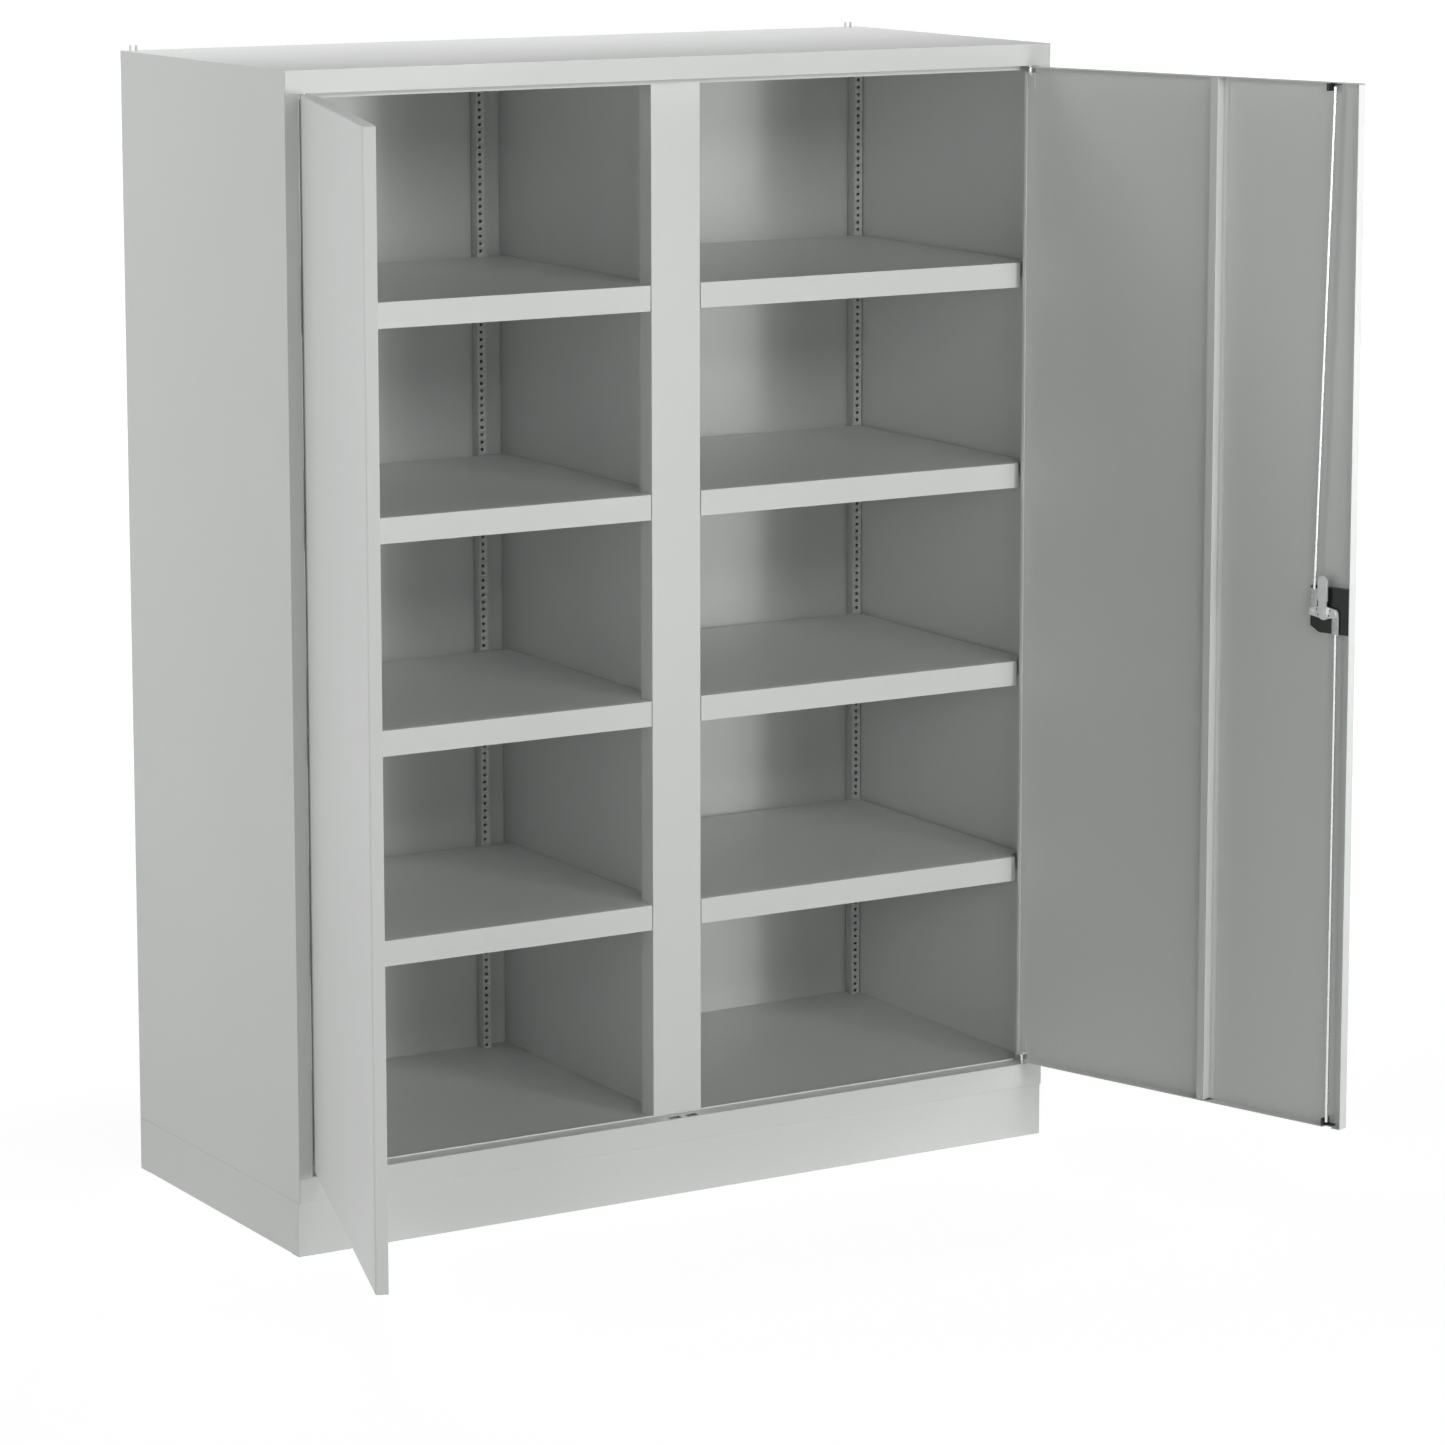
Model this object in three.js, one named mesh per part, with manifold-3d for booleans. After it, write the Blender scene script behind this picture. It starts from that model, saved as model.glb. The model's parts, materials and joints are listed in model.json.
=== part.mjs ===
// Heavy duty cupboard: a sheet steel body with a plinth, a middle partition, eight shelves and two
// hinged leaves. The right leaf carries a turning handle that drives two locking rods and a tongue.
// Units are millimetres. X is to the right, Y to the back and Z up. The origin is on the floor,
// under the middle of the cupboard. The leaves are drawn closed and then turned open.

import * as THREE from 'three';
import { mergeVertices } from 'three/addons/utils/BufferGeometryUtils.js';
import Module from 'manifold-3d';

const wasm = await Module();
wasm.setup();

// Overall
const width = 1500;
const depth = 640;
const height = 1985;
const sheet = 1.25;
const fit = 0.3;
const overrun = 2;

// Plinth
const plinthHeight = 94.5;
const plinthSetback = 4;
const plinthFlange = 30;
const centreRailWidth = 40;

// Body openings
const floorRailHeight = 42.2;
const roofRailHeight = 38.4;
const stopDepth = 30;
const floorLipRise = 4.3;
const floorDrop = 2.7;
const roofLipDrop = 9.3;
const jambWidth = 25;
const stopWidth = 9.6;
const stopGapBottom = 10.3;
const stopGapTop = 14.6;
const rearFlange = 20;

// Lugs at the back of the roof
const lugHeight = 9;
const lugLength = 6;
const lugInset = 16;
const lugSpacing = 11;

// Middle post and partition
const postHalf = 48;
const postReturn = 40;
const postHoleInset = 10;
const partitionHalf = 12;
const partitionFlange = 10;
const backSeamFlange = 15;

// Shelf uprights
const uprightDepth = 25;
const innerFace = 71;
const innerRearBack = 55;
const outerUprightWidth = 17;
const holeWidth = 5;
const holeHeight = 4;
const innerHoleInset = 6;
const outerHoleInset = 8;
const holePitch = 13.3333;

// Shelves
const firstShelf = 516;
const shelfLevels = 4;
const holesPerStep = 27;
const shelfLip = 44.3;
const shelfSkirt = 30;
const shelfHem = 12;
const shelfOverlap = 12;
const shelfPostGap = 1.5;
const shelfStopGap = 5.7;
const hookDrop = 16;
const hookReach = 4;

// Leaves
const leafGap = 1.5;
const sideGap = 2;
const topGap = 1.2;
const bottomGap = 6.9;
const leafDepth = 20.8;
const hingeReturn = 11;
const hingeHem = 7.4;
const pivotDepth = 6.7;
const swingClearance = 0.15;
const cornerNotchWidth = 19;
const cornerNotchHeight = 10;
const rightOpenDegrees = 107.4;
const leftOpenDegrees = 108.7;

// Leaf stiffeners, with their places measured from the free edge
const stiffenerPlace = 291.5;
const stiffenerWidth = 15.5;
const stiffenerDepth = 20;
const stiffenerFlange = 10;

// Hinge pins and brackets
const pinRadius = 3;
const pinHeadRadius = 5;
const pinHeadHeight = 2;
const pinReach = 10;
const pinCollarRadius = 4.5;
const pinCollarHeight = 1.5;
const bracketHeight = 30;
const bracketTab = 3;
const bracketWidth = 17;
const bracketWall = 2.5;

// Lock, with its places measured from the free edge of the right leaf
const lockPlace = 54;
const lockHeight = 1044;
const crankRadius = 23;
const caseEdge = sheet + fit;
const caseWidth = 80.45;
const caseDrop = 35;
const caseHeight = 78;
const caseDepth = 11.5;
const caseChamfer = 14;
const spindleSize = 8;
const spindleHole = 7;
const camHubRadius = 13;
const camEarRadius = 7.5;
const camThickness = 2.5;
const crankPinRadius = 2.7;
const linkWidth = 14;
const linkThickness = 3;
const upperLinkLength = 35;
const lowerLinkLength = 39;
const tongueWidth = 21;
const tongueReach = 62;
const tongueThickness = 3;

// Locking rods and guides
const rodRadius = 3;
const upperRodSetback = 6.4;
const upperRodEndPlace = 51;
const lowerRodSetback = 8.4;
const rodSway = 5.5;
const guideWidth = 27;
const guideHeight = 13;
const guideTopPlace = 53.5;
const guideBottomPlace = 27;
const guideDepth = 18.5;

// Slots for the rods and bolts in the floor ledge and the roof ledge
const slotInner = 4;
const slotLength = 24;
const roofSlotPlace = 45;
const roofSlotLength = 22;
const slotFront = 4;
const slotBack = 19.8;

// Outside handle
const rosetteRadius = 24;
const rosetteThickness = 4;
const neckRadius = 10;
const gripLength = 104;
const gripWidth = 30;
const gripThickness = 21;
const socketDepth = 7;
const cylinderRadius = 9;
const cylinderLength = 14;
const cylinderProud = 1;
const keySlotWidth = 2;
const keySlotLength = 9;
const keySlotDepth = 5;

// Slide bolts of the left leaf
const boltPlace = 14.5;
const boltWidth = 12;
const boltThickness = 5;
const boltLength = 92;
const boltSetback = 3;
const boltDepth = 11.5;
const housingWall = 6;
const housingHeight = 34;
const housingSetback = 20;
const knobRadius = 4;
const knobHeight = 8;
const knobInset = 12;

// Facets of round surfaces
const roundSides = 24;
const curveSteps = 12;
const weldDistance = 0.0001;

// Places worked out from the sizes above
const half = width / 2;
const front = -depth / 2;
const back = depth / 2;
const bodyBottom = plinthHeight;
const ledgeTop = bodyBottom + floorRailHeight;
const floorTop = ledgeTop - floorDrop;
const roofLedge = height - roofRailHeight;
const stopPlane = front + stopDepth;
const sideInner = half - sheet;
const backInner = back - sheet;
const jambEdge = half - jambWidth;
const stopEdge = jambEdge - stopWidth;
const postBottom = floorTop + fit;
const postTop = height - sheet - fit;
const leafEdge = jambEdge - sideGap;
const leafBottom = ledgeTop + bottomGap;
const leafTop = roofLedge - topGap;
const swing = sideGap - swingClearance;
const pivotInset = (pivotDepth ** 2 - swing ** 2) / (2 * swing);
const pivotX = leafEdge - pivotInset;
const pivotY = front + pivotDepth;
const notchEdge = leafEdge - cornerNotchWidth;
const trayHalf = sideInner - fit;
const trayBack = backInner - fit;
const wallSeat = trayHalf - sheet - fit;
const rearSeat = trayBack - sheet - fit;
const outerFace = wallSeat - outerUprightWidth;
const rearUprightFront = backInner - fit - uprightDepth;
const frontUprightBack = stopPlane + sheet + fit + uprightDepth;
const skinInner = sheet + fit;
const rodDepth = skinInner + caseDepth + fit + rodRadius;
const linkFront = rodDepth - linkThickness / 2;
const camFront = linkFront + linkThickness + fit;
const camBack = camFront + camThickness;
const tongueFront = Math.max(leafDepth, camBack) + fit;
const tongueBack = tongueFront + tongueThickness;

const coat = new THREE.MeshStandardMaterial({ color: 0xc6c9c6, roughness: 0.55, metalness: 0 });
const zinc = new THREE.MeshStandardMaterial({ color: 0xb9bcc0, roughness: 0.35, metalness: 1 });
const black = new THREE.MeshStandardMaterial({ color: 0x1b1c1e, roughness: 0.5, metalness: 0 });

// A closed geometry as a solid that can be joined and cut
function solid(geometry) {
  const bare = geometry.clone();
  bare.deleteAttribute('normal');
  bare.deleteAttribute('uv');
  const merged = mergeVertices(bare, weldDistance);
  const vertProperties = new Float32Array(merged.attributes.position.array);
  const triVerts = new Uint32Array(merged.index.array);
  return new wasm.Manifold(new wasm.Mesh({ numProp: 3, vertProperties, triVerts }));
}

function join(...parts) {
  return parts.reduce((whole, part) => whole.add(part));
}

function cut(whole, ...tools) {
  return tools.reduce((rest, tool) => rest.subtract(tool), whole);
}

// The lower or the upper limit of a range, as the sign says
function limit(range, sign) {
  return sign < 0 ? Math.min(...range) : Math.max(...range);
}

// A block between two limits along each axis, given in either order
function block(xs, ys, zs) {
  const geometry = new THREE.BoxGeometry();
  const corners = geometry.attributes.position;
  for (let i = 0; i < corners.count; i += 1) {
    const [x, y, z] = [corners.getX(i), corners.getY(i), corners.getZ(i)];
    corners.setXYZ(i, limit(xs, x), limit(ys, y), limit(zs, z));
  }
  return solid(geometry);
}

// A round bar of unit size, whose points are then placed by a rule
function roundBlock(place) {
  const geometry = new THREE.CylinderGeometry(1, 1, 1, roundSides);
  const points = geometry.attributes.position;
  for (let i = 0; i < points.count; i += 1) {
    points.setXYZ(i, ...place(points.getX(i), points.getZ(i), points.getY(i)));
  }
  return solid(geometry);
}

// An upright round bar
function post(radius, x, y, span) {
  return roundBlock((a, b, end) => [x + radius * a, y - radius * b, limit(span, end)]);
}

// A round bar that runs from the front to the back
function stub(radius, x, z, run) {
  return roundBlock((a, b, end) => [x + radius * a, limit(run, end), z + radius * b]);
}

// An outline in the plane of a leaf, made as thick as the two limits are apart
function slab(shape, [y0, y1]) {
  const settings = { depth: y1 - y0, bevelEnabled: false, curveSegments: curveSteps };
  const geometry = new THREE.ExtrudeGeometry(shape, settings);
  geometry.rotateX(Math.PI / 2);
  geometry.translate(0, y1, 0);
  return solid(geometry);
}

// An outline with two round ends, from one height to another
function roundBar(halfWidth, z0, z1) {
  const shape = new THREE.Shape();
  shape.absarc(0, z1, halfWidth, 0, Math.PI, false);
  shape.absarc(0, z0, halfWidth, Math.PI, 2 * Math.PI, false);
  return shape;
}

function addMesh(parent, name, body, material) {
  const { vertProperties, triVerts } = body.getMesh();
  const geometry = new THREE.BufferGeometry();
  geometry.setAttribute('position', new THREE.BufferAttribute(vertProperties, 3));
  geometry.setIndex(new THREE.BufferAttribute(triVerts, 1));
  geometry.computeVertexNormals();
  const mesh = new THREE.Mesh(geometry, material);
  mesh.name = name;
  parent.add(mesh);
  return mesh;
}

const cupboard = new THREE.Group();

// Each leaf hangs in a group that turns about its pins, and is drawn in its closed place.
function hang(side, degrees) {
  const turned = new THREE.Group();
  turned.position.set(side * pivotX, pivotY, 0);
  turned.rotation.z = side * THREE.MathUtils.degToRad(degrees);
  const closed = new THREE.Group();
  closed.position.set(-side * pivotX, -pivotY, 0);
  turned.add(closed);
  cupboard.add(turned);
  return closed;
}

const rightLeaf = hang(1, rightOpenDegrees);
const leftLeaf = hang(-1, leftOpenDegrees);

const sides = { left: -1, right: 1 };

// Plinth: C rails along the front and the back, with three more between them
const plinthTop = plinthHeight - fit;
const railFront = front + plinthSetback;
const railStart = railFront + sheet + fit;
const railEnd = back - sheet - fit;

// A C rail with its web at one limit of y and its flanges towards the other
function longRail(web, reach) {
  const run = [-half, half];
  const inward = Math.sign(reach - web) * sheet;
  return join(
    block(run, [web, web + inward], [0, plinthTop]),
    block(run, [web, reach], [0, sheet]),
    block(run, [web, reach], [plinthTop - sheet, plinthTop]),
  );
}

function crossRail(web, reach) {
  const inward = Math.sign(reach - web) * sheet;
  const flangeRun = [railFront + plinthFlange + fit, back - plinthFlange - fit];
  return join(
    block([web, web + inward], [railStart, railEnd], [sheet + fit, plinthTop - sheet - fit]),
    block([web, web + inward], flangeRun, [0, plinthTop]),
    block([web, reach], flangeRun, [0, sheet]),
    block([web, reach], flangeRun, [plinthTop - sheet, plinthTop]),
  );
}

addMesh(cupboard, 'plinth_front', longRail(railFront, railFront + plinthFlange), coat);
addMesh(cupboard, 'plinth_rear', longRail(back, back - plinthFlange), coat);
for (const [name, side] of Object.entries(sides)) {
  addMesh(cupboard, `plinth_${name}`, crossRail(side * half, side * (half - plinthFlange)), coat);
}
addMesh(cupboard, 'plinth_centre', crossRail(-centreRailWidth / 2, centreRailWidth / 2), coat);

// Floor and roof: trays that lie between the side walls
const lipFront = stopPlane - fit - 2 * sheet;
const lipBack = stopPlane - fit;
const lipEnd = jambEdge - cornerNotchWidth;
const slotRun = [front + slotFront, front + slotBack];
const floorRodSlot = [leafGap + slotInner, leafGap + slotInner + slotLength];
const roofRodSlot = [leafGap + roofSlotPlace, leafGap + roofSlotPlace + roofSlotLength];
const boltSlot = [-leafGap - boltPlace - slotLength / 2, -leafGap - boltPlace + slotLength / 2];

const acrossAll = [-half - overrun, half + overrun];
const insideTray = [-trayHalf + sheet, trayHalf - sheet];

// Takes the stop lip away at both ends, where the leaves turn
function lipEnds(run, span) {
  return Object.values(sides).map((side) => block([side * lipEnd, side * half], run, span));
}

function floorPanel() {
  const lipTop = ledgeTop + floorLipRise;
  const above = lipTop + overrun;
  return cut(
    block([-trayHalf, trayHalf], [front, trayBack], [bodyBottom, lipTop]),
    block(acrossAll, [front - overrun, lipFront], [ledgeTop, above]),
    block(acrossAll, [lipBack, back], [floorTop, above]),
    ...lipEnds([lipFront - overrun, lipBack + overrun], [ledgeTop, above]),
    block(acrossAll, [front + sheet, lipFront], [bodyBottom + sheet, ledgeTop - sheet]),
    block(insideTray, [lipBack, trayBack - sheet], [bodyBottom - overrun, floorTop - sheet]),
  );
}

function roofPanel() {
  const lipFace = lipBack - sheet;
  const lipBottom = roofLedge - roofLipDrop;
  const below = lipBottom - overrun;
  const panel = cut(
    block([-trayHalf, trayHalf], [front, trayBack], [lipBottom, height]),
    block(acrossAll, [front - overrun, lipFace], [below, roofLedge]),
    block(acrossAll, [lipBack, back], [below, roofLedge]),
    ...lipEnds([lipFace - overrun, lipBack + overrun], [below, roofLedge]),
    block(acrossAll, [front + sheet, lipFace], [roofLedge + sheet, height - sheet]),
    block(insideTray, [lipBack, trayBack - sheet], [below, height - sheet]),
  );
  const lugRun = [trayBack - fit - lugLength, trayBack - fit];
  const lugs = Object.values(sides).flatMap((side) => (
    [lugInset, lugInset + lugSpacing].map((place) => {
      const across = [side * (half - place), side * (half - place - sheet)];
      return block(across, lugRun, [height - sheet / 2, height + lugHeight]);
    })
  ));
  return join(panel, ...lugs);
}

// Cuts through a ledge for the rod, the bolt and the four hinge pins
function ledgeCuts(rodSlot, level) {
  const through = [level - overrun - sheet, level + overrun + sheet];
  const pins = Object.values(sides).map((side) => (
    post(pinRadius + fit, side * pivotX, pivotY, through)
  ));
  return [block(rodSlot, slotRun, through), block(boltSlot, slotRun, through), ...pins];
}

addMesh(cupboard, 'floor_panel', cut(floorPanel(), ...ledgeCuts(floorRodSlot, ledgeTop)), coat);
addMesh(cupboard, 'roof_panel', cut(roofPanel(), ...ledgeCuts(roofRodSlot, roofLedge)), coat);

// Side walls with the jamb, its return, the stop flange and the rear flange
const jambSpan = [ledgeTop + fit, roofLedge - fit];
const stopSpan = [ledgeTop + stopGapBottom, roofLedge - stopGapTop];
const belowBody = bodyBottom - overrun;
const aboveBody = height + overrun;

function sidePanel(side) {
  const x = (from, to) => [side * from, side * to];
  const full = [belowBody, aboveBody];
  const stopBack = stopPlane + sheet;
  const jambRun = [front - overrun, stopBack + overrun];
  return cut(
    block(x(stopEdge, half), [front, back], [bodyBottom, height]),
    block(x(0, sideInner), [stopBack, backInner], full),
    block(x(0, half - rearFlange), [stopBack, back + overrun], full),
    block(x(0, jambEdge), [front - overrun, stopPlane], full),
    block(x(jambEdge + sheet, sideInner), [front + sheet, stopBack + overrun], full),
    block(x(0, sideInner), jambRun, [belowBody, jambSpan[0]]),
    block(x(0, sideInner), jambRun, [jambSpan[1], aboveBody]),
    block(x(0, jambEdge), jambRun, [belowBody, stopSpan[0]]),
    block(x(0, jambEdge), jambRun, [stopSpan[1], aboveBody]),
  );
}

for (const [name, side] of Object.entries(sides)) {
  addMesh(cupboard, `side_panel_${name}`, sidePanel(side), coat);
}

// Back wall in two sheets that meet in a folded seam behind the partition
for (const [name, side] of Object.entries(sides)) {
  const seam = side * fit / 2;
  const edge = side * (half - rearFlange - fit);
  addMesh(cupboard, `back_panel_${name}`, join(
    block([seam, edge], [backInner, back], [bodyBottom, height]),
    block([seam, seam + side * sheet], [backInner - backSeamFlange, back], jambSpan),
  ), coat);
}

// Heights of the shelves, and the holes that their hooks pass through
const shelfTops = Array.from({ length: shelfLevels }, (_, level) => (
  firstShelf + level * holesPerStep * holePitch
));

function hookHoles(place, web, inward) {
  return shelfTops.map((top) => block(
    [place - holeWidth / 2, place + holeWidth / 2],
    [web - inward, web + 2 * inward],
    [top - hookDrop - holeHeight / 2, top - hookDrop + holeHeight / 2],
  ));
}

// Middle post and the two sheets of the partition, from the deck up to the roof
const postSpan = [postBottom, postTop];
const postBack = stopPlane + postReturn;
const postHoles = postHalf - postHoleInset;
const partitionFace = partitionHalf + sheet;
const postWall = postHalf - sheet;
const postOpening = partitionFace + fit;
const pastPost = [postBottom - overrun, postTop + overrun];
addMesh(cupboard, 'centre_post', cut(
  block([-postHalf, postHalf], [stopPlane, postBack], postSpan),
  block([-postWall, postWall], [stopPlane + sheet, postBack - sheet], pastPost),
  block([-postOpening, postOpening], [postBack - 2 * sheet, postBack + overrun], pastPost),
  ...hookHoles(-postHoles, postBack, -sheet),
  ...hookHoles(postHoles, postBack, -sheet),
), coat);
for (const [name, side] of Object.entries(sides)) {
  const web = [side * partitionHalf, side * partitionFace];
  const flange = [side * (partitionHalf - partitionFlange), side * partitionFace];
  addMesh(cupboard, `partition_${name}`, join(
    block(web, [stopPlane + sheet + fit, rearSeat], postSpan),
    block(flange, [rearSeat - sheet, rearSeat], postSpan),
  ), coat);
}

// Shelf uprights: U profiles with their open side to the wall behind them
const innerHoles = innerFace - innerHoleInset;
const outerHoles = outerFace + outerHoleInset;

// One upright between two x limits: its web faces the shelves, with a hole at each shelf hook
function upright([x0, x1], web, reach, holes) {
  const inward = Math.sign(reach - web) * sheet;
  const wall = Math.sign(x1 - x0) * sheet;
  const profile = join(
    block([x0, x1], [web, web + inward], postSpan),
    block([x0, x0 + wall], [web, reach], postSpan),
    block([x1 - wall, x1], [web, reach], postSpan),
  );
  return cut(profile, ...hookHoles(holes, web, inward));
}

const frontReach = stopPlane + sheet + fit;
for (const [name, side] of Object.entries(sides)) {
  const outer = [side * outerFace, side * wallSeat];
  const inner = [side * innerRearBack, side * innerFace];
  const rear = [rearUprightFront, rearSeat];
  const ahead = [frontUprightBack, frontReach];
  const named = (place) => `upright_${name}_${place}`;
  addMesh(cupboard, named('rear_outer'), upright(outer, ...rear, side * outerHoles), coat);
  addMesh(cupboard, named('rear_inner'), upright(inner, ...rear, side * innerHoles), coat);
  addMesh(cupboard, named('front_outer'), upright(outer, ...ahead, side * outerHoles), coat);
}

// Shelves: trays with a deep front lip, notched at the post and at the front uprights. Each hangs
// on four hooks, three in the uprights and one in the post.
const deckInner = partitionFace + shelfPostGap;
const deckOuter = outerFace + shelfOverlap;
const deckFront = frontUprightBack + fit;
const deckAtPost = postBack + fit;
const deckBack = rearUprightFront - fit;
const lipInner = postHalf + shelfPostGap;
const lipOuter = stopEdge - shelfStopGap;
const hookHalf = holeWidth / 2 - fit;
const hookRise = holeHeight / 2 - fit;

function shelf(side, top) {
  const x = (from, to) => [side * from, side * to];
  const lipBottom = top - shelfLip;
  const tall = [lipBottom - overrun, top + overrun];
  const inner = [lipBottom - overrun, top - sheet];
  const lipInside = [stopPlane + sheet, deckFront + 2 * sheet];
  const cornerInside = [deckFront + sheet, deckAtPost + 2 * sheet];
  const tray = cut(
    block(x(deckInner, deckOuter), [stopPlane, deckBack], [lipBottom, top]),
    block(x(0, half), [stopPlane + shelfHem, back], [inner[0], top - shelfSkirt]),
    block(x(deckInner + sheet, deckOuter - sheet), [deckAtPost + sheet, deckBack - sheet], inner),
    block(x(lipInner + sheet, deckOuter - sheet), cornerInside, inner),
    block(x(lipInner + sheet, lipOuter - sheet), lipInside, [lipBottom + sheet, top - sheet]),
    block(x(0, lipInner), [front, deckAtPost], tall),
    block(x(lipOuter, half), [front, deckFront], tall),
  );
  const level = [top - hookDrop - hookRise, top - hookDrop + hookRise];
  const hook = (place, run) => block(x(place - hookHalf, place + hookHalf), run, level);
  return join(
    tray,
    hook(innerHoles, [deckBack - sheet / 2, deckBack + hookReach]),
    hook(outerHoles, [deckBack - sheet / 2, deckBack + hookReach]),
    hook(postHoles, [deckAtPost - hookReach, deckAtPost + sheet / 2]),
    hook(outerHoles, [deckFront - hookReach, deckFront + sheet / 2]),
  );
}

for (const [name, side] of Object.entries(sides)) {
  shelfTops.forEach((top, level) => {
    addMesh(cupboard, `shelf_${name}_${level + 1}`, shelf(side, top), coat);
  });
}

// Leaves: open pans with a shallow return at the hinges and a notch at both hinge corners
function leafPan(side, cuts) {
  const x = (from, to) => [side * from, side * to];
  const y = (from, to) => [front + from, front + to];
  const past = leafDepth + overrun;
  const inside = [leafBottom + sheet, leafTop - sheet];
  const between = [leafBottom + cornerNotchHeight, leafTop - cornerNotchHeight];
  const corner = [x(notchEdge, leafEdge + overrun), y(-overrun, past)];
  const pan = cut(
    block(x(leafGap, leafEdge), y(0, leafDepth), [leafBottom, leafTop]),
    block(x(leafGap + sheet, leafEdge - sheet), y(sheet, past), inside),
    block(x(leafEdge - 2 * sheet, leafEdge + overrun), y(hingeReturn, past), inside),
    block(...corner, [between[1], leafTop + overrun]),
    block(...corner, [leafBottom - overrun, between[0]]),
    ...cuts,
  );
  const hem = x(leafEdge - hingeHem, leafEdge - sheet / 2);
  return pan.add(block(hem, y(hingeReturn - sheet, hingeReturn), between));
}

// Where a place that is measured from the free edge of the right leaf lies
const fromEdge = (place) => leafGap + place;
const lockX = fromEdge(lockPlace);

// The rods sway a little as the cam turns, so each passes through a short slot.
const rodClear = rodRadius + fit + rodSway;
const topRodPlace = fromEdge(guideTopPlace);
const bottomRodPlace = fromEdge(guideBottomPlace);

function rodSlotAt(place, span, depths) {
  return block([place - rodClear, place + rodClear], depths, span);
}

const caseSpan = [lockHeight - caseDrop, lockHeight - caseDrop + caseHeight];
const openDepth = [front + rodDepth - rodRadius - fit, front + leafDepth + overrun];
const rightCuts = [
  stub(spindleHole, lockX, lockHeight, [front - overrun, front + overrun + sheet]),
  rodSlotAt(topRodPlace, [leafTop - sheet - overrun, leafTop + overrun], openDepth),
  rodSlotAt(bottomRodPlace, [leafBottom - overrun, leafBottom + sheet + overrun], openDepth),
];
addMesh(rightLeaf, 'door_right', leafPan(1, rightCuts), coat);

const boltX = -fromEdge(boltPlace);
const boltHalf = boltWidth / 2;
const boltAcross = [boltX - boltHalf, boltX + boltHalf];
const boltRun = [front + boltDepth, front + boltDepth + boltThickness];
const boltHole = [
  [boltAcross[0] - fit, boltAcross[1] + fit],
  [boltRun[0] - fit, front + leafDepth + overrun],
];
addMesh(leftLeaf, 'door_left', leafPan(-1, [
  block(...boltHole, [leafTop - sheet - overrun, leafTop + overrun]),
  block(...boltHole, [leafBottom - overrun, leafBottom + sheet + overrun]),
]), coat);

// Hat profile inside each leaf, over its full height
const leaves = { left: leftLeaf, right: rightLeaf };
for (const [name, side] of Object.entries(sides)) {
  const near = leafGap + stiffenerPlace;
  const far = near + stiffenerWidth;
  const x = (from, to) => [side * from, side * to];
  const foot = [front + skinInner, front + skinInner + sheet];
  const wall = [front + skinInner, front + stiffenerDepth];
  const span = [leafBottom + sheet + fit, leafTop - sheet - fit];
  addMesh(leaves[name], `stiffener_${name}`, join(
    block(x(near - stiffenerFlange, near + sheet), foot, span),
    block(x(near, near + sheet), wall, span),
    block(x(near, far), [front + stiffenerDepth - sheet, front + stiffenerDepth], span),
    block(x(far - sheet, far), wall, span),
    block(x(far - sheet, far + stiffenerFlange), foot, span),
  ), coat);
}

// How far the tab of a bracket lies from the ledge at the bottom, and from the one at the top
function notchRun(away) {
  return (away > 0 ? bottomGap : topGap) + cornerNotchHeight + sheet;
}

// Hinge pins in the ledges, and the brackets of the leaves that turn on them
function hingePin(x, ledge, away) {
  const under = ledge - away * (sheet + fit);
  const tabFace = ledge + away * notchRun(away);
  return join(
    post(pinRadius, x, pivotY, [under, tabFace + away * pinReach]),
    post(pinHeadRadius, x, pivotY, [under, under - away * pinHeadHeight]),
    post(pinCollarRadius, x, pivotY, [tabFace - away * fit, tabFace - away * (fit + pinCollarHeight)]),
  );
}

function hingeBracket(side, ledge, away) {
  const tabFace = ledge + away * notchRun(away);
  const tab = [tabFace, tabFace + away * bracketTab];
  const end = leafEdge - sheet - fit;
  const hemEdge = leafEdge - hingeHem - fit;
  const x = (from, to) => [side * from, side * to];
  const y = (from, to) => [front + from, front + to];
  const behindHem = pivotDepth + pinRadius + fit + bracketWall;
  const body = join(
    block(x(end - bracketWidth, end), y(skinInner, skinInner + bracketTab / 2), [
      tabFace,
      tabFace + away * bracketHeight,
    ]),
    block(x(end - bracketWidth, end), y(skinInner, hingeReturn - sheet - fit), tab),
    block(x(end - bracketWidth, hemEdge), y(skinInner, behindHem), tab),
  );
  const bore = [tabFace - away * overrun, tabFace + away * (bracketTab + overrun)];
  return cut(body, post(pinRadius + fit, side * pivotX, pivotY, bore));
}

for (const [name, side] of Object.entries(sides)) {
  const ends = { bottom: [ledgeTop, 1], top: [roofLedge, -1] };
  for (const [end, [ledge, away]] of Object.entries(ends)) {
    addMesh(cupboard, `hinge_pin_${name}_${end}`, hingePin(side * pivotX, ledge, away), zinc);
    addMesh(leaves[name], `hinge_bracket_${name}_${end}`, hingeBracket(side, ledge, away), coat);
  }
}

// Lock case: a plastic block with one corner cut off and a bore for the spindle
function lockCase() {
  const shape = new THREE.Shape();
  const near = fromEdge(caseEdge);
  const far = near + caseWidth;
  shape.moveTo(near, caseSpan[0]);
  shape.lineTo(far - caseChamfer, caseSpan[0]);
  shape.lineTo(far, caseSpan[0] + caseChamfer);
  shape.lineTo(far, caseSpan[1]);
  shape.lineTo(near, caseSpan[1]);
  const run = [front + skinInner, front + skinInner + caseDepth];
  const bore = stub(spindleHole, lockX, lockHeight, [run[0] - overrun, run[1] + overrun]);
  return cut(slab(shape, run), bore);
}
addMesh(rightLeaf, 'lock_case', lockCase(), black);

// The pieces that turn with the handle are drawn about the lock's own axis.
const lock = new THREE.Group();
lock.position.set(lockX, front, lockHeight);
rightLeaf.add(lock);

function squareBar(size, run) {
  return block([-size / 2, size / 2], run, [-size / 2, size / 2]);
}
const squareHole = (run) => squareBar(spindleSize + 2 * fit, [run[0] - overrun, run[1] + overrun]);

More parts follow.
